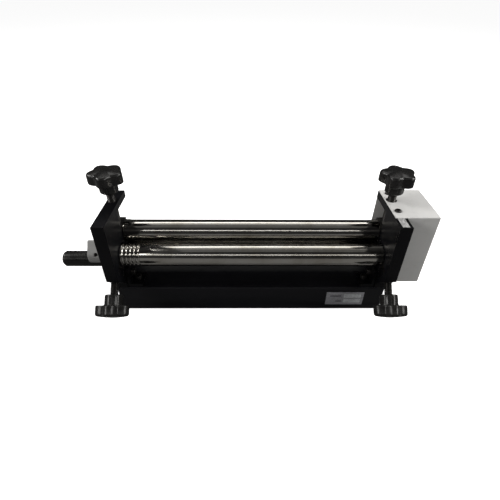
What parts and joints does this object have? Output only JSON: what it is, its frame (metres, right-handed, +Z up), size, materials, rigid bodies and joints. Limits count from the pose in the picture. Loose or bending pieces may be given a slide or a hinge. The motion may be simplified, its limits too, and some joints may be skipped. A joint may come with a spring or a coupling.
{
  "type": "slip roll machine",
  "caption": "Hand-cranked bench roll machine: geared pinch rollers, a sloped bending roller, star-knob adjusters, side frames, gear cover and box-section base.",
  "frame": {"origin": "centre of the base tube's underside", "axes": "+Z up, +X along the rollers towards the gear cover, -Y the infeed side with the bending roller's knobs"},
  "size_m": [0.4897, 0.1494, 0.187],
  "materials": {
    "black_paint": "gloss black enamel",
    "grey_paint": "satin light grey powder coat",
    "polished_steel": "ground and polished",
    "zinc_steel": "bright zinc plate",
    "dark_steel": "black oxide",
    "bronze": "machined bronze",
    "black_plastic": "moulded gloss",
    "label_film": "blank printed film"
  },
  "bodies": {
    "frame": {"base_tube": "black_paint", "left_base_plug": "black_plastic", "right_base_plug": "black_plastic", "left_frame": "black_paint", "right_frame": "black_paint", "left_foot_bracket": "black_paint", "right_foot_bracket": "black_paint", "left_frame_bolt": "dark_steel", "right_frame_bolt": "dark_steel", "left_base_bolt": "dark_steel", "right_base_bolt": "dark_steel", "left_lower_bush": "bronze", "right_lower_bush": "bronze", "gear_cover": "grey_paint", "cover_screw_1": "dark_steel", "cover_screw_2": "dark_steel", "base_label": "label_film", "frame_label": "label_film"},
    "upper_carriage": {"left_upper_block": "dark_steel", "right_upper_block": "dark_steel", "left_upper_bush": "bronze", "right_upper_bush": "bronze", "left_upper_pin": "zinc_steel", "right_upper_pin": "zinc_steel"},
    "upper_roller_set": {"upper_roller": "polished_steel", "upper_gear": "zinc_steel", "upper_gear_key": "zinc_steel", "upper_gear_washer": "zinc_steel", "upper_gear_screw": "dark_steel", "left_upper_collar": "dark_steel"},
    "drive": {"lower_roller": "polished_steel", "lower_gear": "zinc_steel", "lower_gear_key": "zinc_steel", "lower_gear_washer": "zinc_steel", "lower_gear_screw": "dark_steel", "crank_arm": "grey_paint", "crank_grub_screw": "dark_steel", "crank_spindle": "zinc_steel"},
    "crank_handle": {"crank_grip": "black_plastic"},
    "bending_carriage": {"left_bending_block": "dark_steel", "right_bending_block": "dark_steel", "left_bending_pin": "zinc_steel", "right_bending_pin": "zinc_steel"},
    "bending_roller_set": {"bending_roller": "polished_steel", "left_bending_collar": "dark_steel"},
    "left_top_adjuster": {"left_top_knob": "black_plastic", "left_top_screw": "dark_steel"},
    "right_top_adjuster": {"right_top_knob": "black_plastic", "right_top_screw": "dark_steel"},
    "left_lower_adjuster": {"left_lower_knob": "black_plastic", "left_lower_screw": "dark_steel"},
    "right_lower_adjuster": {"right_lower_knob": "black_plastic", "right_lower_screw": "dark_steel"}
  },
  "joints": [
    {"name": "upper_roller_lift", "type": "slide", "parent": "frame", "child": "upper_carriage", "axis": [0, 0, 1], "range_m": [-0.0005, 0.0015]},
    {"name": "upper_roller_turn", "type": "hinge", "parent": "upper_carriage", "child": "upper_roller_set", "pos_m": [0, -0.0018, 0.1038], "axis": [1, 0, 0], "continuous": true},
    {"name": "crank_turn", "type": "hinge", "parent": "frame", "child": "drive", "pos_m": [0, 0.0012, 0.0751], "axis": [1, 0, 0], "continuous": true},
    {"name": "crank_handle_spin", "type": "hinge", "parent": "drive", "child": "crank_handle", "pos_m": [-0.235, 0.03877, 0.02578], "axis": [1, 0, 0], "continuous": true},
    {"name": "bending_roller_lift", "type": "slide", "parent": "frame", "child": "bending_carriage", "axis": [0, 0.7071, 0.7071], "range_m": [-0.006, 0.0045]},
    {"name": "bending_roller_turn", "type": "hinge", "parent": "bending_carriage", "child": "bending_roller_set", "pos_m": [0, -0.031, 0.0874], "axis": [1, 0, 0], "continuous": true},
    {"name": "left_top_knob_turn", "type": "hinge", "parent": "upper_carriage", "child": "left_top_adjuster", "pos_m": [-0.1688, -0.0018, 0.15], "axis": [0, 0, 1], "range_deg": [-121, 361]},
    {"name": "right_top_knob_turn", "type": "hinge", "parent": "upper_carriage", "child": "right_top_adjuster", "pos_m": [0.1688, -0.0018, 0.15], "axis": [0, 0, 1], "range_deg": [-121, 361]},
    {"name": "left_lower_knob_turn", "type": "hinge", "parent": "bending_carriage", "child": "left_lower_adjuster", "pos_m": [-0.1678, -0.031, 0.0874], "axis": [0, 0.7071, 0.7071], "range_deg": [-1441, 1081]},
    {"name": "right_lower_knob_turn", "type": "hinge", "parent": "bending_carriage", "child": "right_lower_adjuster", "pos_m": [0.1678, -0.031, 0.0874], "axis": [0, 0.7071, 0.7071], "range_deg": [-1441, 1081]}
  ],
  "couplings": [
    {"joint": "upper_roller_turn", "follows": "crank_turn", "ratio": -1},
    {"joint": "left_top_knob_turn", "follows": "upper_roller_lift", "rad_per_m": 4188.8},
    {"joint": "right_top_knob_turn", "follows": "upper_roller_lift", "rad_per_m": 4188.8},
    {"joint": "left_lower_knob_turn", "follows": "bending_roller_lift", "rad_per_m": 4188.8},
    {"joint": "right_lower_knob_turn", "follows": "bending_roller_lift", "rad_per_m": 4188.8}
  ]
}
